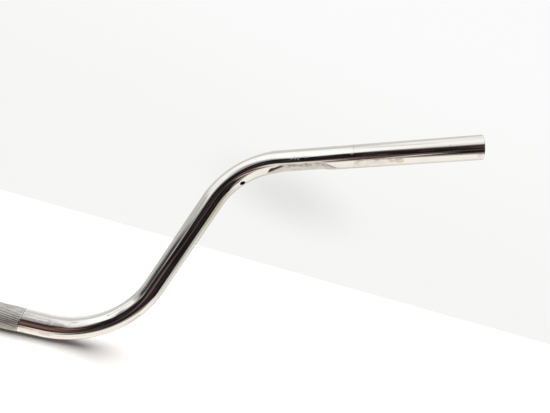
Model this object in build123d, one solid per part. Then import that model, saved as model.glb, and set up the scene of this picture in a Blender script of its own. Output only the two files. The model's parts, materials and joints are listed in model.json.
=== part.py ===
"""Motorcycle handlebar: one steel tube with four bends, drawn as its named stretches.

The origin is the middle of the clamp section. +X runs along the clamp section to the
rider's right, +Y points forwards and +Z points up, in the plane of the two risers.
The right half is drawn from the middle outwards, and the left half is its mirror image.
Lengths are in millimetres and angles in degrees.
"""

from copy import copy
from math import acos, cos, degrees, pi, radians, sin
import os

from build123d import *

# Tube
TUBE_D = 25.4
WALL = 2.5
BEND_RADIUS = 100.0  # of the centre line, the same in all four bends
END_CHAMFER = 0.8
MOUTH_CHAMFER = 0.5

# Stretches of the right half, along the centre line
KNURLED_LENGTH = 140.0  # over both halves
SHOULDER_LENGTH = 23.0
RISER_ANGLE = 78.0  # between the clamp section and the riser
RISER_LENGTH = 123.0
GRIP_ANGLE = 39.0  # between the clamp section and the grip
GRIP_PULLBACK = 44.0  # of the grip about +X, from the risers' plane to the rider
GRIP_LENGTH = 206.0  # the whole straight run, from the upper bend to the bar end

# What is on the underside of the upper bend and the grip
UNDERSIDE = 24.0  # where it faces, about +X, from straight down to the rider
CLIP_HOLE_D = 6.35
CLIP_HOLE_TURN = 24.4  # how far round the upper bend the wiring clip's hole is
DIMPLE_LENGTH = 80.0
DIMPLE_ON_BEND = 15.0  # how much of that length is on the bend
DIMPLE_DEPTH = 4.6
DIMPLE_EDGE_DEPTH = 4.3  # its floor is slightly hollow, so its long edges are less deep
DIMPLE_TIP_DROP = 0.05  # leaves its floor a narrow edge to start from at each tip
DIMPLE_RAMP = 22.0  # at each end, from the tube's surface down to the floor
RAMP_SECTIONS = 8
PLAIN_BESIDE_DIMPLE = 11.0  # tube in the dimpled stretch at either end of the dimple

OUTER_R = TUBE_D / 2
INNER_R = OUTER_R - WALL
ALONG_BAR = Vector(1, 0, 0)


def direction(from_bar, pullback):
    """The unit vector at an angle from the clamp section, pulled back about it."""
    across = sin(radians(from_bar))
    return Vector(
        cos(radians(from_bar)),
        -across * sin(radians(pullback)),
        across * cos(radians(pullback)),
    )


ALONG_RISER = direction(RISER_ANGLE, 0)
ALONG_GRIP = direction(GRIP_ANGLE, GRIP_PULLBACK)
DOWN = Vector(0, -sin(radians(UNDERSIDE)), -cos(radians(UNDERSIDE)))
UPPER_TURN = ALONG_RISER.get_angle(ALONG_GRIP)
PLAIN_TURN = UPPER_TURN - degrees((DIMPLE_ON_BEND + PLAIN_BESIDE_DIMPLE) / BEND_RADIUS)
PLAIN_END = GRIP_LENGTH - (DIMPLE_LENGTH - DIMPLE_ON_BEND) - PLAIN_BESIDE_DIMPLE


def square_to(vector, heading):
    """The unit vector nearest to vector in the cross-section at this heading."""
    return (vector - heading * vector.dot(heading)).normalized()


class Route:
    """A place on the centre line: its point, and the heading of the tube there."""

    def __init__(self, point, heading):
        self.point = point
        self.heading = heading

    def advance(self, length):
        self.point += self.heading * length

    def hinge(self, towards):
        """The axis that a bend from here towards another heading turns about."""
        inwards = square_to(towards, self.heading)
        return Axis(self.point + inwards * BEND_RADIUS, self.heading.cross(inwards))

    def turn(self, towards, angle):
        hinge = self.hinge(towards)
        about_origin = Axis((0, 0, 0), hinge.direction)
        self.point = hinge.position + (self.point - hinge.position).rotate(about_origin, angle)
        self.heading = self.heading.rotate(about_origin, angle)

    def disc(self, radius):
        return Plane(self.point, z_dir=self.heading) * Circle(radius)


def straight(route, length):
    """A straight tube from here on. The route ends up at its far end."""
    outer, core = (extrude(route.disc(r), amount=length) for r in (OUTER_R, INNER_R))
    route.advance(length)
    return outer - core


def bend(route, towards, angle):
    """A bent tube that turns some way towards another heading, the route with it."""
    hinge = route.hinge(towards)
    outer, core = (revolve(route.disc(r), hinge, angle) for r in (OUTER_R, INNER_R))
    route.turn(towards, angle)
    return outer - core


def clip_hole_drill(bend_start):
    """The drill for the wiring clip's hole, from the centre line out to the underside."""
    spot = copy(bend_start)
    spot.turn(ALONG_GRIP, CLIP_HOLE_TURN)
    end = Plane(spot.point, z_dir=square_to(DOWN, spot.heading)) * Circle(CLIP_HOLE_D / 2)
    return extrude(end, amount=TUBE_D)


def pressed_disc(spot, radius, share):
    """The full disc here, its underside pressed in by a share of the dimple's depth."""
    edge_drop = DIMPLE_TIP_DROP + DIMPLE_EDGE_DEPTH * share
    half_angle = degrees(acos(1 - edge_drop / radius))
    round_side = CenterArc((0, 0), radius, half_angle, 360 - 2 * half_angle)
    floor = ThreePointArc(round_side @ 1, (radius - DIMPLE_DEPTH * share, 0), round_side @ 0)
    plane = Plane(spot.point, x_dir=square_to(DOWN, spot.heading), z_dir=spot.heading)
    return plane * make_face([round_side, floor])


def pressed_rod(start, radius):
    """A rod of this radius along the dimple, which starts here on the bend."""
    down_ramp = [DIMPLE_RAMP * i / RAMP_SECTIONS for i in range(RAMP_SECTIONS + 1)]
    up_ramp = [DIMPLE_LENGTH - distance for distance in reversed(down_ramp)]
    discs = []
    for distance in down_ramp + up_ramp:
        spot = copy(start)
        on_bend = min(distance, DIMPLE_ON_BEND)
        spot.turn(ALONG_GRIP, degrees(on_bend / BEND_RADIUS))
        spot.advance(distance - on_bend)
        from_tip = min(distance, DIMPLE_LENGTH - distance)
        share = (1 - cos(pi * from_tip / DIMPLE_RAMP)) / 2
        discs.append(pressed_disc(spot, radius, share))
    return loft(discs, ruled=True)


def dimpled_section(route):
    """The end of the upper bend and the start of the grip, with the wiring dimple."""
    before = bend(route, ALONG_GRIP, degrees(PLAIN_BESIDE_DIMPLE / BEND_RADIUS))
    pressed = pressed_rod(route, OUTER_R) - pressed_rod(route, INNER_R)
    route.turn(ALONG_GRIP, degrees(DIMPLE_ON_BEND / BEND_RADIUS))
    route.advance(DIMPLE_LENGTH - DIMPLE_ON_BEND)
    after = straight(route, PLAIN_BESIDE_DIMPLE)
    return before + pressed + after


def bar_end(route):
    """The plain end of the grip, cut square, with both edges of its mouth broken."""
    grip = straight(route, PLAIN_END)
    along = Axis(route.point, ALONG_GRIP)
    for place, size in ((-1, END_CHAMFER), (0, MOUTH_CHAMFER)):
        mouth = grip.faces().filter_by(GeomType.PLANE).sort_by(along)[-1]
        rim = mouth.edges().sort_by(SortBy.RADIUS)[place]
        grip = chamfer(rim, size)
    return grip


def right_half():
    """The stretches of the right half by name, from the clamp section outwards."""
    route = Route(ALONG_BAR * (KNURLED_LENGTH / 2), ALONG_BAR)
    shoulder = straight(route, SHOULDER_LENGTH)
    lower_bend = bend(route, ALONG_RISER, RISER_ANGLE)
    riser = straight(route, RISER_LENGTH)
    drill = clip_hole_drill(route)
    upper_bend = bend(route, ALONG_GRIP, PLAIN_TURN) - drill
    return {
        "shoulder": shoulder,
        "lower_bend": lower_bend,
        "riser": riser,
        "upper_bend": upper_bend,
        "dimpled_section": dimpled_section(route),
        "bar_end": bar_end(route),
    }


def clamp_section():
    """The knurled middle, as a plain tube: rolled knurling keeps its mean diameter."""
    return straight(Route(ALONG_BAR * (-KNURLED_LENGTH / 2), ALONG_BAR), KNURLED_LENGTH)


nodes = {"clamp_section": clamp_section()}
for name, shape in right_half().items():
    nodes[f"right_{name}"] = shape
    nodes[f"left_{name}"] = mirror(shape, about=Plane.YZ)

os.makedirs("parts", exist_ok=True)
for name, shape in nodes.items():
    solid = shape.solid()
    solid.label = name
    export_step(solid, f"parts/{name}.step")
    print(f"{name:24s} {solid.volume:9.1f} mm3")
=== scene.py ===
"""A chrome motorcycle handlebar: its walls, dimples, holes, knurling and finish.

The tube is one wall swept along a centre line. Each CAD node has a piece that shows the
same stretch of it. A place on the wall is given by three values: along, the distance on
the centre line from the middle (the left half is a mirror image); around, the angle about
the centre line from the underside; and radius. Lengths are in metres.
"""

import json
from math import cos, pi, radians, sin

import bpy
import numpy as np
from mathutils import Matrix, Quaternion, Vector


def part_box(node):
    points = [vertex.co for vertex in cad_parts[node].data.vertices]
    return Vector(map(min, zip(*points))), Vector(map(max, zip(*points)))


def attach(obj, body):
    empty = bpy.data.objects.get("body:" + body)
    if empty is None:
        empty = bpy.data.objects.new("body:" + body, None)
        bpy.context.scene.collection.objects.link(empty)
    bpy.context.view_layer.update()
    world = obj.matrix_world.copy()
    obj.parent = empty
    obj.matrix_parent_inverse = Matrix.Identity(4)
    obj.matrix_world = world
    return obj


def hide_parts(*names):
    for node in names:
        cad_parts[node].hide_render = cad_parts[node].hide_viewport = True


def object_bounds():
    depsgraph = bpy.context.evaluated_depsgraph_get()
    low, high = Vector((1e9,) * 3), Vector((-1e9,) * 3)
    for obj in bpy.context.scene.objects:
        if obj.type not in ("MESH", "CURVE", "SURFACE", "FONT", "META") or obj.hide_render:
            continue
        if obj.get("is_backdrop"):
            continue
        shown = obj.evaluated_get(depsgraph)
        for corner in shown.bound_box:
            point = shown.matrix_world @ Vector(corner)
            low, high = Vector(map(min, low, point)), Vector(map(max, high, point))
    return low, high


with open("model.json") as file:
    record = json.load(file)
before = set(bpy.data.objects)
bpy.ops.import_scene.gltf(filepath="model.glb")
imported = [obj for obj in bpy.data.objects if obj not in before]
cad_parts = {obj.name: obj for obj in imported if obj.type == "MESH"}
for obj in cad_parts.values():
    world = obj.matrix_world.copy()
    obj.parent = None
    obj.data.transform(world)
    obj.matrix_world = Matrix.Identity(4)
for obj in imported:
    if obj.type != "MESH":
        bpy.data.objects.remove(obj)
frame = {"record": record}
cad_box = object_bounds()
mounts = {mount["name"]: mount for mount in frame["record"]["mounts"]}

MM = 0.001

# The tube, as in the CAD part
TUBE_R = mounts["clamp"]["dims"]["r_mm"] * MM
BORE_R = mounts["right_mouth"]["dims"]["r_mm"] * MM
BEND_R = 100 * MM
STRAIGHT_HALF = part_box("right_shoulder")[1].x
KNURLED_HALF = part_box("clamp_section")[1].x
RISER_ANGLE = 78
RISER_LENGTH = 123 * MM
GRIP_ANGLE = 39
GRIP_PULLBACK = 44
GRIP_LENGTH = 206 * MM
UNDERSIDE = 24
CLIP_HOLE_TURN = 24.4
CLIP_HOLE_R = mounts["right_clip_hole"]["dims"]["r_mm"] * MM
END_EDGE = 0.8 * MM
MOUTH_EDGE = 0.5 * MM

# The wiring dimple
DIMPLE_LENGTH = 80 * MM
DIMPLE_ON_BEND = 15 * MM
DIMPLE_DEPTH = 4.6 * MM
DIMPLE_HOLLOW = 0.3 * MM
DIMPLE_RAMP = 22 * MM
DIMPLE_LIP = 0.45 * MM
PLAIN_BESIDE_DIMPLE = 11 * MM

# The knurling: diamonds between two families of grooves, about 30 degrees off the axis
KNURLS_AROUND = 37
KNURL_PITCH = 3.5 * MM
KNURL_CREST = 0.2 * MM
KNURL_GROOVE = 0.22 * MM
KNURL_FLAT = 0.6
KNURL_CROSSED = 0.62  # how deep the second family of grooves is, beside the first
KNURL_PARTS = 5  # quads to each diamond, both ways

# How finely the wall is divided
COLUMNS = 128
DIMPLE_COLUMNS = 240
STRAIGHT_SPACING = 6 * MM
BEND_SPACING = 1.2 * MM
DIMPLE_SPACING = 0.8 * MM

# The camera, from the photograph's outline of the tube
CAMERA_PLACE = Vector((0.1374, -0.4632, 0.2891))
CAMERA_TURN = 18.03
CAMERA_PITCH = -8.28
CAMERA_ROLL = 23.28
CAMERA_LENS = 27.03

CHROMED, BARE = 0, 1  # the two materials of a piece: outside, and inside the tube
SIDES = (("right", 1), ("left", -1))


def unit(vector):
    """The vector, or each of an array of them, at length 1."""
    return vector / np.linalg.norm(vector, axis=-1, keepdims=True)


def dot(a, b):
    return np.sum(a * b, axis=-1, keepdims=True)


def square_to(vector, heading):
    """The unit vector nearest to vector in the cross-section at this heading."""
    return unit(vector - heading * dot(vector, heading))


def direction(from_bar, pullback):
    """The heading at an angle from the clamp section, pulled back about it."""
    a, b = radians(from_bar), radians(pullback)
    return np.array([cos(a), -sin(a) * sin(b), sin(a) * cos(b)])


ALONG_BAR = np.array([1.0, 0.0, 0.0])
ALONG_RISER = direction(RISER_ANGLE, 0)
ALONG_GRIP = direction(GRIP_ANGLE, GRIP_PULLBACK)
DOWN = np.array([0, -sin(radians(UNDERSIDE)), -cos(radians(UNDERSIDE))])


class Run:
    """A straight run or a bend of the centre line."""

    def __init__(self, point, heading, length, towards=None):
        self.point = point
        self.heading = heading
        self.length = length
        self.inwards = None if towards is None else square_to(towards, heading)

    def at(self, distance):
        """The points and headings at an array of distances from its start."""
        if self.inwards is None:
            return self.point + distance * self.heading, self.heading + 0 * distance
        turn = distance / BEND_R
        forwards, inwards = np.sin(turn), 1 - np.cos(turn)
        point = self.point + BEND_R * (forwards * self.heading + inwards * self.inwards)
        return point, np.cos(turn) * self.heading + np.sin(turn) * self.inwards

    def end(self):
        point, heading = self.at(np.array([[self.length]]))
        return point[0], heading[0]


def bend_length(start, end):
    """The length of the centre line in a bend from one heading to another."""
    return BEND_R * float(np.arccos(dot(start, end)[0]))


def centre_runs():
    """The five runs of the right half's centre line, from the middle outwards."""
    runs = [Run(np.zeros(3), ALONG_BAR, STRAIGHT_HALF)]
    runs.append(Run(*runs[-1].end(), bend_length(ALONG_BAR, ALONG_RISER), ALONG_RISER))
    runs.append(Run(*runs[-1].end(), RISER_LENGTH))
    runs.append(Run(*runs[-1].end(), bend_length(ALONG_RISER, ALONG_GRIP), ALONG_GRIP))
    runs.append(Run(*runs[-1].end(), GRIP_LENGTH))
    return runs


RUNS = centre_runs()
STARTS = np.cumsum([0] + [run.length for run in RUNS])
LOWER_BEND, RISER, UPPER_BEND, GRIP, BAR_END = STARTS[1:]
DIMPLE_START = GRIP - DIMPLE_ON_BEND
DIMPLE_END = DIMPLE_START + DIMPLE_LENGTH
HALF_DIMPLE = (DIMPLE_DEPTH * (2 * TUBE_R - DIMPLE_DEPTH)) ** 0.5
CLIP_HOLE = UPPER_BEND + BEND_R * radians(CLIP_HOLE_TURN)


def centre_line(along):
    """Points and headings on the centre line, for an array of distances from the middle."""
    out = np.abs(along).ravel()
    which = np.clip(np.searchsorted(STARTS, out, side="right") - 1, 0, len(RUNS) - 1)
    points = np.zeros((out.size, 3))
    headings = np.zeros((out.size, 3))
    for i, run in enumerate(RUNS):
        here = which == i
        points[here], headings[here] = run.at((out[here] - STARTS[i])[:, None])
    mirrored = np.where(along.ravel() < 0, -1, 1)[:, None]
    points[:, :1] *= mirrored
    headings[:, 1:] *= mirrored
    return points.reshape(*along.shape, 3), headings.reshape(*along.shape, 3)


def soft_min(a, b, width):
    """The lower of two heights, with the corner between them rounded over some width."""
    share = np.clip(0.5 + 0.5 * (b - a) / width, 0, 1)
    return b + (a - b) * share - width * share * (1 - share)


def dimple_depth(along):
    """How far below the tube's surface the dimple's floor is. It is above it outside."""
    out = np.abs(along)
    from_tip = np.minimum(out - DIMPLE_START, DIMPLE_END - out)
    share = (1 - np.cos(pi * np.clip(from_tip / DIMPLE_RAMP, 0, 1))) / 2
    return DIMPLE_DEPTH * share + np.minimum(from_tip, 0)


def section(along, around, radius):
    """The wall's place in the cross-section: towards the underside, and across it."""
    under = radius * np.cos(around)
    across = radius * np.sin(around)
    depth = dimple_depth(along)
    hollow = DIMPLE_HOLLOW * depth / DIMPLE_DEPTH * (across / HALF_DIMPLE) ** 2
    return soft_min(under, radius - depth + hollow, DIMPLE_LIP), across


def wall(along, around, radius):
    """Points on the wall, for arrays of the three values that give a place on it."""
    points, headings = centre_line(along)
    underside = square_to(DOWN, headings)
    under, across = section(along, around, radius)
    sideways = np.cross(headings, underside)
    return points + under[..., None] * underside + across[..., None] * sideways


class Shell:
    """Rings of vertices and the quads between them, gathered into one closed mesh."""

    def __init__(self):
        self.points = []
        self.places = []
        self.heights = []
        self.faces = []
        self.normals = []
        self.finishes = []
        self.count = 0

    def add_vertices(self, points, place, height=0):
        """Adds an array of points with their places on the wall. Returns their numbers."""
        along, around, radius = np.broadcast_arrays(*place)
        under, across = section(along, around, radius)
        pressed = (radius * np.cos(around) - under) / DIMPLE_DEPTH
        height = height + np.where(pressed > 0.005, pressed, 0)
        self.points.append(points.reshape(-1, 3))
        self.places.append(np.stack([along, under, across], axis=-1).reshape(-1, 3))
        self.heights.append((height + 0 * along).ravel())
        numbers = np.arange(self.count, self.count + along.size).reshape(along.shape)
        self.count += along.size
        return numbers

    def add_strip(self, numbers, normals, finish, keep=None):
        """Adds the quads between rings. Each ring closes on itself."""
        faces = corners_of(numbers).reshape(-1, 4)
        normals = corners_of(normals).reshape(-1, 4, 3)
        if keep is not None:
            faces, normals = faces[keep.ravel()], normals[keep.ravel()]
        self.faces.append(faces)
        self.normals.append(normals)
        self.finishes.append(np.full(len(faces), finish))

    def facet(self):
        """Gives the faces of the last strip flat shading."""
        points = np.concatenate(self.points)[self.faces[-1]]
        flat = np.cross(points[:, 2] - points[:, 0], points[:, 3] - points[:, 1])
        self.normals[-1] = np.repeat(unit(flat)[:, None], 4, axis=1)

    def piece(self, name, finishes):
        """The mesh as an object, with its places and heights as attributes."""
        mesh = bpy.data.meshes.new(name)
        faces = np.concatenate(self.faces)
        mesh.from_pydata(np.concatenate(self.points).tolist(), [], faces.tolist())
        for finish in finishes:
            mesh.materials.append(finish)
        mesh.polygons.foreach_set("material_index", np.concatenate(self.finishes))
        mesh.polygons.foreach_set("use_smooth", np.ones(len(faces), bool))
        place = mesh.attributes.new("place", "FLOAT_VECTOR", "POINT")
        place.data.foreach_set("vector", np.concatenate(self.places).ravel())
        height = mesh.attributes.new("height", "FLOAT", "POINT")
        height.data.foreach_set("value", np.concatenate(self.heights))
        mesh.normals_split_custom_set(np.concatenate(self.normals).reshape(-1, 3))
        mesh.update()
        piece = bpy.data.objects.new(name, mesh)
        bpy.context.scene.collection.objects.link(piece)
        return piece


def corners_of(rings):
    """For each quad between closed rings, what belongs to its four corners."""
    here, after = rings[:-1], rings[1:]
    corners = [here, np.roll(here, -1, 1), np.roll(after, -1, 1), after]
    return np.stack(corners, axis=2)


def wall_normals(place, step):
    """Unit normals of the surface that leaves a place by a step along and outwards."""
    along, around, radius = np.broadcast_arrays(*place)
    further, outwards = (0.01 * MM * np.asarray(part) for part in step)
    ahead = wall(along + further, around, radius + outwards)
    behind = wall(along - further, around, radius - outwards)
    turned = wall(along, around + 0.001, radius) - wall(along, around - 0.001, radius)
    return unit(np.cross(turned, ahead - behind))


def steps(start, end, spacing):
    """Evenly spaced values from start to end, no further apart than the spacing."""
    return np.linspace(start, end, int(np.ceil(abs(end - start) / spacing)) + 1)


def line(start, end, spacing):
    """A straight part of the wall's profile: its places, and the step along it."""
    count = max(len(steps(a, b, spacing)) for a, b in zip(start, end))
    along, radius = (np.linspace(a, b, count) for a, b in zip(start, end))
    step = unit(np.subtract(end, start))
    return along, radius, step[0] + 0 * along, step[1] + 0 * along


def edge(along, radius, size, quarter):
    """A rounded edge about a centre: quarter 0 is the outer edge and 1 the mouth's."""
    turn = (quarter + np.linspace(0, 1, 6)) * pi / 2
    return along + size * np.sin(turn), radius + size * np.cos(turn), np.cos(turn), -np.sin(turn)


def cut_end(end):
    """The profile across a stretch's far end, from the outer wall to the bore."""
    rounded = abs(abs(end) - BAR_END) < MM
    outer, mouth = (END_EDGE, MOUTH_EDGE) if rounded else (0, 0)
    parts = [line((end, TUBE_R - outer), (end, BORE_R + mouth), TUBE_R)]
    if rounded:
        parts.insert(0, edge(end - outer, TUBE_R - outer, outer, 0))
        parts.append(edge(end - mouth, BORE_R + mouth, mouth, 1))
    return parts


def turned_back(parts, end):
    """The same profile across a stretch's near end, from the bore to the outer wall."""
    back = []
    for along, radius, step, outwards in reversed(parts):
        back.append((2 * end - along[::-1], radius[::-1], step[::-1], -outwards[::-1]))
    return back


def profile(start, end, spacing):
    """The closed loop that a stretch is swept from, in parts, with the finish of each."""
    near = turned_back(cut_end(start), start)
    far = cut_end(end)
    outer_ends = near[-1][0][-1], far[0][0][0]
    inner_ends = near[0][0][0], far[-1][0][-1]
    outside = line((outer_ends[0], TUBE_R), (outer_ends[1], TUBE_R), spacing)
    inside = line((inner_ends[1], BORE_R), (inner_ends[0], BORE_R), spacing)
    parts = [outside, *far, inside, *near]
    finishes = [CHROMED] * (1 + len(far)) + [BARE] + [CHROMED] * len(near)
    return list(zip(parts, finishes))


class ClipHole:
    """The wiring clip's hole, drilled square through the wall into the underside."""

    BLOCK = (4, 7)  # quads left out of the wall each way from the hole's centre
    RIM = 0.4 * MM

    def __init__(self, along):
        self.along = along
        point, heading = (part[0] for part in centre_line(np.array([along])))
        self.centre = point
        self.axes = [heading, None, square_to(DOWN, heading)]
        self.axes[1] = np.cross(heading, self.axes[2])

    def offsets(self, points):
        """How far points are from the hole's axis, along and across the tube."""
        return [dot(points - self.centre, axis)[..., 0] for axis in self.axes[:2]]

    def place(self, a, b, radius):
        """The place on the wall that is this far from the hole's axis each way."""
        along, around = self.along + a, np.arcsin(b / radius)
        for _ in range(6):
            a_now, b_now = self.offsets(wall(along, around, radius))
            along = along + a - a_now
            around = around + (b - b_now) / radius
        return along, around, radius + 0 * along

    def block(self, along, around):
        """The rows and columns of the grid that bound the quads left out."""
        row = int(np.abs(along - self.along).argmin())
        column = int(np.abs(around).argmin())
        rows, columns = self.BLOCK
        return row - rows, row + rows, column - columns, column + columns

    def loop(self, bounds):
        """Rows and columns of the vertices round the gap, in order."""
        top, bottom, left, right = bounds
        rows = [top] * (right - left) + list(range(top, bottom))
        rows += [bottom] * (right - left) + list(range(bottom, top, -1))
        columns = list(range(left, right)) + [right] * (bottom - top)
        columns += list(range(right, left, -1)) + [left] * (bottom - top)
        return rows, columns

    def rings_on_wall(self, gap, radius, size):
        """Rings that pass from the gap's corners to a circle about the hole's axis."""
        a, b = self.offsets(gap)
        reach = np.hypot(a, b)
        for share in (0.35, 0.7, 1):
            scale = 1 - share + share * size / reach
            place = self.place(a * scale, b * scale, radius)
            yield wall(*place), place, wall_normals(place, (1, 0))

    def rings_on_rim(self, gap):
        """Rings round the hole's rounded outer rim, down into the wall."""
        a, b = self.offsets(gap)
        reach = np.hypot(a, b)
        for turn in np.linspace(0, pi / 2, 5)[1:]:
            scale = (CLIP_HOLE_R + self.RIM * (1 - sin(turn))) / reach
            place = self.place(a * scale, b * scale, TUBE_R)
            inwards = -(a * scale)[:, None] * self.axes[0] - (b * scale)[:, None] * self.axes[1]
            normals = cos(turn) * wall_normals(place, (1, 0)) + sin(turn) * unit(inwards)
            drop = self.RIM * (1 - cos(turn)) * self.axes[2]
            yield wall(*place) - drop, place, unit(normals)

    def cut(self, shell, outer, inner):
        """Joins the gaps in the outer and inner walls. Each is its vertices and points."""
        outer_numbers, outer_gap, outer_place = outer
        inner_numbers, inner_gap, inner_place = inner
        numbers, normals = [outer_numbers], [wall_normals(outer_place, (1, 0))]
        rings = list(self.rings_on_wall(outer_gap, TUBE_R, CLIP_HOLE_R + self.RIM))
        rings += self.rings_on_rim(outer_gap)
        for points, place, normal in rings:
            numbers.append(shell.add_vertices(points, place))
            normals.append(normal)
        shell.add_strip(np.array(numbers), np.array(normals), CHROMED)
        inside = list(self.rings_on_wall(inner_gap, BORE_R, CLIP_HOLE_R))[::-1]
        below = [shell.add_vertices(points, place) for points, place, _ in inside]
        drilled = np.array([normals[-1], normals[-1]])
        shell.add_strip(np.array([numbers[-1], below[0]]), drilled, BARE)
        below.append(inner_numbers)
        under = [-normal for _, _, normal in inside]
        under.append(-wall_normals(inner_place, (1, 0)))
        shell.add_strip(np.array(below), np.array(under), BARE)


def knurl_rise(along, around):
    """How far the knurling stands out of the tube, and its height from 0 to 1."""
    turns = KNURLS_AROUND * around / (2 * pi)
    pitches = along / KNURL_PITCH
    apart = [1 - 2 * np.abs((value % 1) - 0.5) for value in (turns + pitches, turns - pitches)]
    crossed = 1 - KNURL_CROSSED * (1 - apart[1])
    height = np.minimum(np.minimum(apart[0], crossed), KNURL_FLAT) / KNURL_FLAT
    fade = np.clip((KNURLED_HALF - np.abs(along)) / KNURL_PITCH * 2, 0, 1)
    rise = fade * (height * (KNURL_CREST + KNURL_GROOVE) - KNURL_GROOVE)
    return rise, 1 - fade * (1 - height)


def sweep(shell, parts, columns, rise):
    """Adds the vertices of each part, and returns their numbers and places with its step."""
    around = np.linspace(-pi, pi, columns, endpoint=False)
    swept = []
    for i, ((along, radius, step, outwards), _) in enumerate(parts):
        place = np.broadcast_arrays(along[:, None], around, radius[:, None])
        lift, height = rise(place[0], around) if rise and i == 0 else (0, 0 * place[0])
        place = place[0], place[1], place[2] + lift
        first = [values[:-1] for values in place]
        numbers = shell.add_vertices(wall(*first), first, height[:-1])
        swept.append([numbers, place, (step[:, None], outwards[:, None])])
    for i, part in enumerate(swept):
        following = swept[(i + 1) % len(swept)][0][:1]
        part[0] = np.concatenate([part[0], following])
    return swept


def gap_in(swept, rows, columns):
    """The vertices round a gap in a swept part: their numbers, points and places."""
    numbers, place, _ = swept
    place = [values[rows, columns] for values in place]
    return numbers[rows, columns], wall(*place), place


def tube(name, start, end, spacing, columns, rise=None, hole=None):
    """The piece that shows one stretch of the tube."""
    shell = Shell()
    parts = profile(start, end, spacing)
    swept = sweep(shell, parts, columns, rise)
    inside = [finish for _, finish in parts].index(BARE)
    kept = [None] * len(parts)
    if hole:
        bounds = hole.block(swept[0][1][0][:, 0], swept[0][1][1][0])
        rows, across = (np.array(values) for values in hole.loop(bounds))
        last = len(swept[0][0]) - 1
        hole.cut(shell, gap_in(swept[0], rows, across), gap_in(swept[inside], last - rows, across))
        kept[0] = np.ones((last, columns), bool)
        kept[0][bounds[0] : bounds[1], bounds[2] : bounds[3]] = False
        kept[inside] = kept[0][::-1]
    for (numbers, place, step), (_, finish), keep in zip(swept, parts, kept):
        shell.add_strip(numbers, wall_normals(place, step), finish, keep)
        if rise and numbers is swept[0][0]:
            shell.facet()
    return shell.piece(name, [knurled if rise else chrome, bare])


class Nodes:
    """Adds nodes to a shader tree and links them up."""

    def __init__(self, tree):
        tree.nodes.clear()
        self.tree = tree

    def add(self, kind, inputs=None, **settings):
        node = self.tree.nodes.new("ShaderNode" + kind)
        for name, value in settings.items():
            setattr(node, name, value)
        for key, value in (inputs or {}).items():
            if isinstance(value, bpy.types.NodeSocket):
                self.tree.links.new(value, node.inputs[key])
            else:
                node.inputs[key].default_value = value
        return node

    def math(self, operation, *values):
        node = self.add("Math", dict(enumerate(values)), operation=operation)
        return node.outputs[0]

    def vector(self, operation, *values):
        node = self.add("VectorMath", dict(enumerate(values)), operation=operation)
        return node.outputs["Value" if operation == "LENGTH" else "Vector"]

    def between(self, value, low, high, first=0.0, last=1.0):
        """Passes smoothly from the first value to the last as value goes from low to high."""
        inputs = {"Value": value, "From Min": low, "From Max": high}
        inputs |= {"To Min": first, "To Max": last}
        node = self.add("MapRange", inputs, interpolation_type="SMOOTHSTEP")
        return node.outputs["Result"]

    def within(self, value, low, high, soft):
        """1 where the value is from low to high and 0 outside, softly."""
        over = self.between(value, low - soft, low + soft)
        return self.math("MULTIPLY", over, self.between(value, high - soft, high + soft, 1.0, 0.0))

    def mix(self, share, first, second):
        """A colour between two others."""
        node = self.add("Mix", {0: share, 6: first, 7: second}, data_type="RGBA")
        return node.outputs[2]

    def most(self, shares):
        """The largest of some shares."""
        share = shares[0]
        for other in shares[1:]:
            share = self.math("MAXIMUM", share, other)
        return share

    def noise(self, place, scale, detail=2.0):
        inputs = {"Vector": place, "Scale": scale, "Detail": detail}
        return self.add("TexNoise", inputs).outputs["Fac"]

    def patch(self, place, centre, size, ragged=0.0, ragged_scale=300.0):
        """1 in a soft-edged patch of the wall and 0 outside, with a ragged outline."""
        away = self.vector("SUBTRACT", place, centre)
        away = self.vector("LENGTH", self.vector("DIVIDE", away, size))
        if ragged:
            noise = self.math("SUBTRACT", self.noise(place, ragged_scale, 3.0), 0.5)
            away = self.math("ADD", away, self.math("MULTIPLY", noise, ragged))
        return self.between(away, 0.6, 1.0, 1.0, 0.0)


def new_material(name):
    material = bpy.data.materials.new(name)
    material.use_nodes = True
    return material, Nodes(material.node_tree)


def on_tube(along, around):
    """Where the chrome's texture has a place on the tube, from millimetres and degrees."""
    turn = radians(around)
    return along * MM, TUBE_R * cos(turn), TUBE_R * sin(turn)


def marks(n, place, spots, ragged=0.8, ragged_scale=700.0):
    """1 in each of some patches: millimetres along, degrees around, sizes in millimetres."""
    shares = []
    for along, around, length, width in spots:
        size = length * MM, width * MM, width * MM
        shares.append(n.patch(place, on_tube(along, around), size, ragged, ragged_scale))
    return n.most(shares)


# Marks on the right half, each as marks() takes it: along, around, length and width
DULL = ((76, -118, 9, 4.5), (92, -113, 17, 3.6), (108, -110, 10, 2.4))
SPECKS = ((89, -117, 1.6, 0.9), (85.5, -113, 1.1, 0.8), (101.5, -111, 1.9, 1.5), (96, -121, 1, 0.7))
SCUFFS = ((464, -76, 7, 1.9), (467.5, -72, 1.4, 2.4), (476, -78, 5, 1.5), (524, -76, 2.2, 0.9))
STAIN = ((536, -27, 13, 6), (553, -30, 15, 5), (571, -29, 6, 4.5))
YELLOWED = ((343, 2, 26, 4.5), (374, 4, 12, 4), (569, -32, 6, 2.4), (457, -51, 2, 1.4))
SMUDGES = (
    (75, -27, 3.5, 4),
    (98, -52, 9, 2.4),
    (101, -56, 1.5, 1),
    (188, -12, 14, 3),
    (646, -27, 3, 3),
)
RING = 526 * MM  # where a clamp has left a faint line round the tube, on both halves
RING_WIDTH = 0.8 * MM

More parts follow.
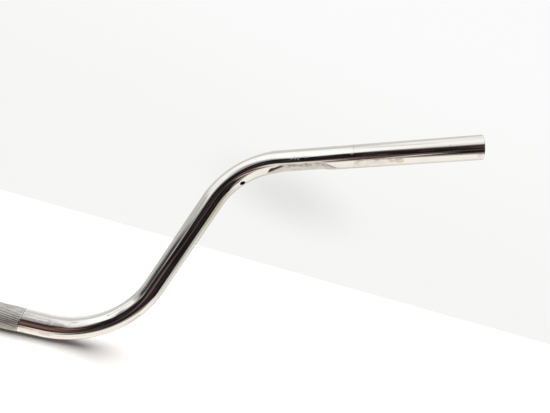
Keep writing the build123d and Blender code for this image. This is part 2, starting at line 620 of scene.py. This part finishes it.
# What each kind of mark does to the plate's colour, in order: its strength and its tint
TINTS = {
    "hairlines": (0.3, (0.5, 0.5, 0.5, 1)),
    "dull": (1.0, (0.60, 0.60, 0.60, 1)),
    "smudges": (0.5, (0.55, 0.5, 0.47, 1)),
    "stained": (0.75, (0.60, 0.55, 0.48, 1)),
    "yellowed": (0.45, (0.66, 0.62, 0.42, 1)),
    "dimple": (0.5, (0.66, 0.65, 0.62, 1)),
    # Stains on the dimple's floor, with painted shade towards the camera's side
    "mottle_and_shade": (1.0, (0.40, 0.39, 0.36, 1)),
    # Painted shade in the dimple's crease and along its outboard edge
    "crease_shade": (1.0, (0.035, 0.035, 0.018, 1)),
    "ring": (0.6, (0.45, 0.42, 0.4, 1)),
    "scuffs": (1.0, (0.93, 0.93, 0.95, 1)),
    "pits": (1.0, (0.11, 0.075, 0.05, 1)),
}

# How much rougher the strongest of some of them makes it
ROUGHENED = (
    (("dull", "stained", "mottle_and_shade"), 0.3),
    (("scuffs",), 0.55),
    (("smudges", "pits", "dimple"), 0.1),
)


def worn(n, place):
    """Shares for what dulls or marks the plate anywhere on the tube."""
    lengthwise = n.vector("MULTIPLY", place, (0.035, 1, 1))
    haze = n.between(n.noise(place, 45.0, 4.0), 0.42, 0.72)
    dull = n.math("MULTIPLY", marks(n, place, DULL, 0.9, 420.0), n.between(haze, -0.4, 0.6))
    smudges = marks(n, place, SMUDGES, 1.1, 500.0)
    scuffs = marks(n, place, SPECKS, 0.5, 900.0)
    strokes = n.between(n.noise(place, 1900.0, 2.0), 0.42, 0.6)
    scuffs = n.most([scuffs, n.math("MULTIPLY", marks(n, place, SCUFFS, 0.9), strokes)])
    blotches = n.between(n.noise(place, 110.0, 2.0), 0.35, 0.65, 0.3, 1.0)
    stained = n.math("MULTIPLY", marks(n, place, STAIN, 0.6, 120.0), blotches)
    hairlines = n.between(n.noise(lengthwise, 2600.0, 2.0), 0.60, 0.74)
    cells = n.add("TexVoronoi", {"Vector": place, "Scale": 420.0}).outputs
    chosen = n.between(n.add("SeparateColor", {0: cells["Color"]}).outputs[0], 0.955, 0.975)
    pits = n.math("MULTIPLY", n.between(cells["Distance"], 0.12, 0.2, 1.0, 0.0), chosen)
    shares = {"haze": haze, "dull": dull, "smudges": smudges, "scuffs": scuffs}
    shares |= {"stained": stained, "hairlines": hairlines, "pits": pits}
    return shares | {"yellowed": marks(n, place, YELLOWED), "ring": ring_mark(n, place, haze)}


def ring_mark(n, place, haze):
    """The share for the faint, broken line round the tube."""
    along = n.math("ABSOLUTE", n.add("SeparateXYZ", {0: place}).outputs[0])
    from_ring = n.math("ABSOLUTE", n.math("SUBTRACT", along, RING))
    ring = n.between(from_ring, 0.0, RING_WIDTH, 1.0, 0.0)
    return n.math("MULTIPLY", ring, n.between(haze, 0, 1, 0.25, 0.7))


# The painted shade of a dark crescent at the dimple's inboard end: its middle, its size,
# where along the tube it curves away from the underside, and how far it goes
CRESCENT_MIDDLE = DIMPLE_START + 11 * MM
CRESCENT_SIZE = (12.5 * MM, 3.4 * MM, 1)
CRESCENT_CURVE = DIMPLE_START - 4 * MM, DIMPLE_START + 7 * MM
CRESCENT_AWAY = 4.6 * MM

# Painted shade along the dimple's outboard edge: where it fades in, and how wide it is
LIP_START = DIMPLE_END - 19 * MM, DIMPLE_END - 12 * MM
LIP_WIDTH = 1.3 * MM, 1.8 * MM
LIP_STRENGTH = 0.6


def from_long_edge(n, under, across):
    """How far in from the dimple's long edge on the camera's side a place on its floor is."""
    half = n.math("SUBTRACT", TUBE_R**2, n.math("MULTIPLY", under, under))
    half = n.math("SQRT", n.math("MAXIMUM", half, 0.0))
    return n.math("ADD", across, half)


def dimple_finish(n, place, pressed):
    """Shares for the dimple's dull floor, its mottling with painted shade, and painted shade round
    it.
    """
    along, under, across = n.add("SeparateXYZ", {0: place}).outputs
    along = n.math("ABSOLUTE", along)
    inside = n.between(pressed, 0.02, 0.06)
    at_edge = n.between(from_long_edge(n, under, across), *LIP_WIDTH, 1.0, 0.0)
    # Painted shade along the dimple's outboard edge
    outboard = n.between(along, *LIP_START, 0.0, LIP_STRENGTH)
    lip_shade = n.math("MULTIPLY", n.math("MULTIPLY", outboard, at_edge), inside)
    # Painted shade: a dark crescent at the dimple's inboard end
    away = n.between(along, *CRESCENT_CURVE, 0.0, CRESCENT_AWAY)
    flat = n.add("CombineXYZ", {0: along, 1: n.math("ADD", across, away)}).outputs[0]
    crescent_shade = n.patch(flat, (CRESCENT_MIDDLE, 0, 0), CRESCENT_SIZE, 0.3)
    blotches = n.between(n.noise(place, 190.0, 4.0), 0.34, 0.64)
    # Painted shade: the mottling is stronger towards the camera's side of the floor
    shaded = n.between(across, -3 * MM, 2.5 * MM, 1.0, 0.25)
    mottle_and_shade = n.math("MULTIPLY", n.math("MULTIPLY", inside, shaded), blotches)
    return {"dimple": inside, "mottle_and_shade": mottle_and_shade, "crease_shade": n.most([crescent_shade, lip_shade])}


def waviness(n, place):
    """The plate's fine lengthwise grain and its slight waves, as a normal."""
    grain = n.noise(n.vector("MULTIPLY", place, (0.02, 1, 1)), 900.0, 3.0)
    bump = n.add("Bump", {"Height": grain, "Strength": 0.35, "Distance": 0.004 * MM})
    waves = {"Height": n.noise(place, 160.0, 2.0), "Strength": 0.5, "Distance": 0.03 * MM}
    return n.add("Bump", {**waves, "Normal": bump.outputs[0]}).outputs[0]


def bright_chrome():
    """Bright chrome plate with the marks that the bar has picked up, and painted shade on the
    dimple.
    """
    material, n = new_material("bright_chrome")
    place = n.add("Attribute", attribute_name="place").outputs["Vector"]
    pressed = n.add("Attribute", attribute_name="height").outputs["Fac"]
    shares = worn(n, place) | dimple_finish(n, place, pressed)
    colour = n.mix(shares["haze"], (0.80, 0.79, 0.775, 1), (0.765, 0.755, 0.74, 1))
    for kind, (strength, tint) in TINTS.items():
        colour = n.mix(n.math("MULTIPLY", shares[kind], strength), colour, tint)
    rough = n.between(shares["haze"], 0, 1, 0.01, 0.03)
    for kinds, added in ROUGHENED:
        share = n.most([shares[kind] for kind in kinds])
        rough = n.math("ADD", rough, n.math("MULTIPLY", share, added))
    inputs = {"Base Color": colour, "Roughness": rough, "Metallic": 1.0}
    bsdf = n.add("BsdfPrincipled", {**inputs, "Normal": waviness(n, place)})
    n.add("OutputMaterial", {"Surface": bsdf.outputs[0]})
    return material


def knurled_chrome():
    """Knurled chrome: grime and painted shade in the grooves, worn crests, painted shade below."""
    material, n = new_material("knurled_chrome")
    place = n.add("Attribute", attribute_name="place").outputs["Vector"]
    height = n.add("Attribute", attribute_name="height").outputs["Fac"]
    grime = n.between(n.noise(place, 180.0, 4.0), 0.35, 0.7)
    crest = n.between(height, 0.35, 0.95)
    # The grooves' dark colour is partly grime and partly painted shade in the recesses.
    groove_grime_and_shade = n.mix(grime, (0.16, 0.15, 0.145, 1), (0.05, 0.045, 0.04, 1))
    top = n.mix(grime, (1.0, 0.985, 0.97, 1), (0.84, 0.82, 0.8, 1))
    # Painted shade: the knurling darkens towards the underside, which faces the floor.
    under = n.add("SeparateXYZ", {0: place}).outputs[1]
    underside_shade = n.between(under, 0, 9 * MM, 0.0, 0.5)
    colour = n.mix(underside_shade, n.mix(crest, groove_grime_and_shade, top), (0.3, 0.28, 0.27, 1))
    rough = n.math("ADD", n.between(crest, 0, 1, 0.42, 0.24), n.math("MULTIPLY", grime, 0.08))
    bsdf = n.add("BsdfPrincipled", {"Base Color": colour, "Roughness": rough, "Metallic": 1.0})
    n.add("OutputMaterial", {"Surface": bsdf.outputs[0]})
    return material


def bare_steel():
    """The dark, lightly rusted steel inside the tube."""
    material, n = new_material("bare_steel")
    place = n.add("Attribute", attribute_name="place").outputs["Vector"]
    rust = n.between(n.noise(place, 250.0, 4.0), 0.45, 0.65)
    colour = n.mix(rust, (0.07, 0.065, 0.06, 1), (0.12, 0.065, 0.04, 1))
    bsdf = n.add("BsdfPrincipled", {"Base Color": colour, "Roughness": 0.6, "Metallic": 0.7})
    n.add("OutputMaterial", {"Surface": bsdf.outputs[0]})
    return material


def shade(code, reflected=1.0):
    """The light that shows as a colour such as "d0c8bc", seen in a mirror if need be."""
    parts = [int(code[i : i + 2], 16) / 255 for i in (0, 2, 4)]
    linear = [((part + 0.055) / 1.055) ** 2.4 for part in parts]
    return *(value / reflected for value in linear), 1


CHROME_REFLECTS = 0.775

# What the chrome mirrors all around, from straight down to straight up: degrees above
# the horizon, and the colour as the chrome shows it
SURROUND = (
    (-78, "f8efe7"),
    (-64, "eae3da"),
    (-52, "ddd7d0"),
    (-42, "d3cfc9"),
    (-30, "dcd9d4"),
    (-18, "c9c6c0"),
    (-4, "dcdad6"),
    (8, "edece9"),
    (28, "ebeae7"),
    (44, "cdccc8"),
    (58, "c4c3c0"),
    (69, "edebe8"),
    (84, "d6d3ce"),
)

# What stands in front of that, in degrees: side from and to, height from and to, softness
# and colour. Side 0 is towards -Y, behind the photograph's camera, and 90 is towards -X.
PANELS = {
    "table ahead": (-112, 8, -64, -39, 9, "f1ede6"),
    "yellow wall": (-84, -50, -33, -10, 5, "b2b0a5"),
    "window wall": (45, 116, 12, 64, 8, "f6f5f2"),
    "window": (46, 102, 26, 50, 5, "fffefa"),
    "window's top bar": (50, 92, 56, 61, 2, "c9c8c5"),
    "low window": (70, 101, 4, 24, 3, "f4f3ef"),
    "lit frame": (50, 72, -6, 17, 5, "94928f"),
    "bright gap": (61, 75, 1, 12, 3, "f4f3f0"),
    "far rail": (75, 102, -4, 4, 2, "aeaca8"),
    "window's corner": (34, 62, 40, 66, 4, "f4f1ee"),
    "side corner": (113, 148, 4, 44, 6, "c9c8c4"),
    "top corner": (150, 178, 30, 68, 6, "cdc9c5"),
    "back corner": (-158, -134, -34, -10, 5, "b8b5ae"),
    "far shelf": (98, 152, -14, 4, 5, "b8b7b2"),
    "long shelf": (140, 200, -11, -5, 3, "b9b9b4"),
    "shadow under the bar": (160, 196, -62, -34, 5, "aca49d"),
    "foot of the wall": (176, 204, -22, -12, 3, "b9b8b3"),
    "dark shelf": (58, 102, -22, -3, 3, "545454"),
    "dark shelf's end": (68, 90, -12, -3, 3, "3a3c3e"),
    "table edge": (-46, 28, -44, -34, 3, "8b8379"),
    "upper wall": (-30, 27, 37, 64, 7, "aaa5a2"),
    "side wall": (20, 46, 17, 29, 4, "85817e"),
    "room": (-54, 51, -36, 13, 3, "1a1617"),
    "dark doorway": (17, 46, 8, 21, 3, "242021"),
    "room's corner": (44, 57, -26, -9, 3, "2a2629"),
    "curtain": (-30, 22, 8, 40, 5, "3a2f2e"),
    "lit curtain": (11, 18, 3, 25, 3, "75574d"),
    "curtain's edge": (1, 10, -5, 15, 3, "73554b"),
    "under the curtain": (1, 10, -16, -5, 2, "503c37"),
    "brown chair": (8, 28, -28, -15, 3, "634e48"),
    "table's near edge": (3, 8, -46, -25, 2, "dccfc5"),
    "table's corner": (19, 62, -52, -26, 3, "dcd3cc"),
}


# Thin bright streaks across the dark room behind the camera
STREAKS = shade("6e6866", CHROME_REFLECTS)
STREAKED = (-50, 46), (-30, 16)

# The plain wall from low to high, a touch darker low down as painted shade, and a painted
# shadow on it as a soft ellipsoid of directions
WALL_LOW, WALL_HIGH = shade("f6f6f4"), shade("fafafa")
WALL_SHADOW, WALL_SHADOW_SIZE = (0.32, 0.94, -0.11), (0.24, 0.24, 0.1)
WALL_SHADED = shade("d2d4d0")

# The light that reaches what isn't mirrored
FILL = (0.14, 0.118, 0.105, 1)
OVERHEAD = (0.3, 0.28, 0.27, 1)
KEY_FROM, KEY_SOFTNESS, KEY_POWER = Vector((-0.05, 0.17, 1)), 80, 3.7


def mirrored_light(n, towards):
    """The colour of the surround in a direction, as the chrome mirrors it."""
    x, y, z = n.add("SeparateXYZ", {0: towards}).outputs
    up = n.math("DEGREES", n.math("ARCSINE", z))
    minus_x, minus_y = (n.math("MULTIPLY", value, -1.0) for value in (x, y))
    side = n.math("DEGREES", n.math("ARCTAN2", minus_x, minus_y))
    all_round = n.math("WRAP", side, 360.0, 0.0)
    light = shade(SURROUND[0][1], CHROME_REFLECTS)
    for (below, _), (height, code) in zip(SURROUND, SURROUND[1:]):
        light = n.mix(n.between(up, below, height), light, shade(code, CHROME_REFLECTS))
    for left, right, low, high, soft, code in PANELS.values():
        share = n.within(all_round if right > 180 else side, left, right, soft)
        share = n.math("MULTIPLY", share, n.within(up, low, high, soft))
        light = n.mix(share, light, shade(code, CHROME_REFLECTS))
    drawn_out = n.add("CombineXYZ", {0: side, 1: n.math("MULTIPLY", up, 0.12)}).outputs[0]
    streaks = n.between(n.noise(drawn_out, 0.8, 3.0), 0.58, 0.72)
    across, upwards = STREAKED
    room = n.math("MULTIPLY", n.within(side, *across, 4), n.within(up, *upwards, 4))
    return n.mix(n.math("MULTIPLY", room, streaks), light, STREAKS)


def plain_wall(n, towards, z):
    """The colour of the pale wall in a direction, with a faint painted shadow on it."""
    away = n.vector("SUBTRACT", towards, WALL_SHADOW)
    away = n.vector("LENGTH", n.vector("DIVIDE", away, WALL_SHADOW_SIZE))
    # Painted shade low on the wall, then a painted shadow patch
    plain = n.mix(n.between(z, -0.15, 0.35), WALL_LOW, WALL_HIGH)
    return n.mix(n.between(away, 0.0, 1.0, 0.5, 0.0), plain, WALL_SHADED)


def studio():
    """The light: a pale surround with a dark room behind the camera, and a plain wall.

    The camera sees the wall and the chrome mirrors the surround. Matt surfaces get a soft
    fill from overhead, and get it by way of the chrome too, as the diffuse depth tells.
    """
    world = bpy.data.worlds.new("studio")
    world.use_nodes = True
    bpy.context.scene.world = world
    n = Nodes(world.node_tree)
    towards = n.add("TexCoord").outputs["Generated"]
    z = n.add("SeparateXYZ", {0: towards}).outputs[2]
    filled = n.mix(n.between(z, 0.1, 0.75), FILL, OVERHEAD)
    colours = mirrored_light(n, towards), filled, plain_wall(n, towards, z)
    surround, fill, wall = (n.add("Background", {0: colour}).outputs[0] for colour in colours)
    path = n.add("LightPath").outputs
    scattered = n.math("MINIMUM", path["Diffuse Depth"], 1.0)
    lit = n.add("MixShader", {0: scattered, 1: surround, 2: fill}).outputs[0]
    seen = n.add("MixShader", {0: path["Is Camera Ray"], 1: lit, 2: wall})
    n.add("OutputWorld", {"Surface": seen.outputs[0]})


FLOOR_R = 6.0
FLOOR_EDGE = 0.457  # how far forwards of the middle the floor meets the wall
FLOOR_EDGE_TURN = 6.8
FLOOR_COLOUR = (0.93, 0.92, 0.905, 1)


def floor():
    """A plain white floor that the bar rests on. It ends at the foot of the wall."""
    turn = radians(FLOOR_EDGE_TURN)
    right, forwards = Vector((cos(turn), sin(turn), 0)), Vector((-sin(turn), cos(turn), 0))
    edge = FLOOR_EDGE * cos(turn)
    corners = ((-FLOOR_R, -FLOOR_R), (FLOOR_R, -FLOOR_R), (FLOOR_R, edge), (-FLOOR_R, edge))
    mesh = bpy.data.meshes.new("floor")
    mesh.from_pydata([right * x + forwards * y for x, y in corners], [], [(0, 1, 2, 3)])
    ground = bpy.data.objects.new("floor", mesh)
    bpy.context.scene.collection.objects.link(ground)
    ground.location.z = -TUBE_R - KNURL_CREST
    ground.visible_glossy = False
    material, n = new_material("pale_floor")
    matt = n.add("BsdfDiffuse", {"Color": FLOOR_COLOUR})
    n.add("OutputMaterial", {"Surface": matt.outputs[0]})
    mesh.materials.append(material)
    ground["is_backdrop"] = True


def key_light():
    """A soft light from above and a little forwards, for the shadow under the bar.

    The chrome doesn't mirror it.
    """
    data = bpy.data.lights.new("key_light", "SUN")
    data.angle = radians(KEY_SOFTNESS)
    data.energy = KEY_POWER
    light = bpy.data.objects.new("key_light", data)
    bpy.context.scene.collection.objects.link(light)
    light.rotation_mode = "QUATERNION"
    light.rotation_quaternion = (-KEY_FROM).to_track_quat("-Z", "Y")
    light.visible_glossy = False


def camera():
    """The camera, on the rider's side of the right half, rolled as the photograph is."""
    data = bpy.data.cameras.new("camera")
    data.lens = CAMERA_LENS
    view = bpy.data.objects.new("camera", data)
    bpy.context.scene.collection.objects.link(view)
    turn, pitch = radians(CAMERA_TURN), radians(CAMERA_PITCH)
    forward = Vector((sin(turn) * cos(pitch), cos(turn) * cos(pitch), sin(pitch)))
    roll = Quaternion((0, 0, 1), radians(CAMERA_ROLL))
    view.rotation_mode = "QUATERNION"
    view.rotation_quaternion = forward.to_track_quat("-Z", "Y") @ roll
    view.location = CAMERA_PLACE
    bpy.context.scene.camera = view


chrome, knurled, bare = bright_chrome(), knurled_chrome(), bare_steel()


def stretches():
    """Each CAD node's name, where its stretch starts and ends, and how finely it is drawn."""
    dimpled = DIMPLE_START - PLAIN_BESIDE_DIMPLE, DIMPLE_END + PLAIN_BESIDE_DIMPLE
    half = {
        "shoulder": (KNURLED_HALF, LOWER_BEND, STRAIGHT_SPACING, COLUMNS),
        "lower_bend": (LOWER_BEND, RISER, BEND_SPACING, COLUMNS),
        "riser": (RISER, UPPER_BEND, STRAIGHT_SPACING, COLUMNS),
        "upper_bend": (UPPER_BEND, dimpled[0], BEND_SPACING, COLUMNS),
        "dimpled_section": (*dimpled, DIMPLE_SPACING, DIMPLE_COLUMNS),
        "bar_end": (dimpled[1], BAR_END, STRAIGHT_SPACING, COLUMNS),
    }
    for name, (start, end, *fineness) in half.items():
        yield f"right_{name}", start, end, *fineness
        yield f"left_{name}", -end, -start, *fineness
    knurl_rings, knurl_columns = KNURL_PITCH / KNURL_PARTS, KNURLS_AROUND * KNURL_PARTS
    yield "clamp_section", -KNURLED_HALF, KNURLED_HALF, knurl_rings, knurl_columns


def handlebar():
    """All the pieces, each in place of one CAD node."""
    holes = {f"{side}_upper_bend": ClipHole(sign * CLIP_HOLE) for side, sign in SIDES}
    for node, *stretch in stretches():
        rise = knurl_rise if node == "clamp_section" else None
        piece = tube(f"{node}_tube", *stretch, rise=rise, hole=holes.get(node))
        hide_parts(node)
        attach(piece, "root")


handlebar()
floor()
studio()
key_light()
camera()
bpy.context.scene.view_settings.view_transform = "Standard"

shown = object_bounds()
sizes = {"cad": cad_box, "shown": shown}
{name: [list(corner) for corner in box] for name, box in sizes.items()}
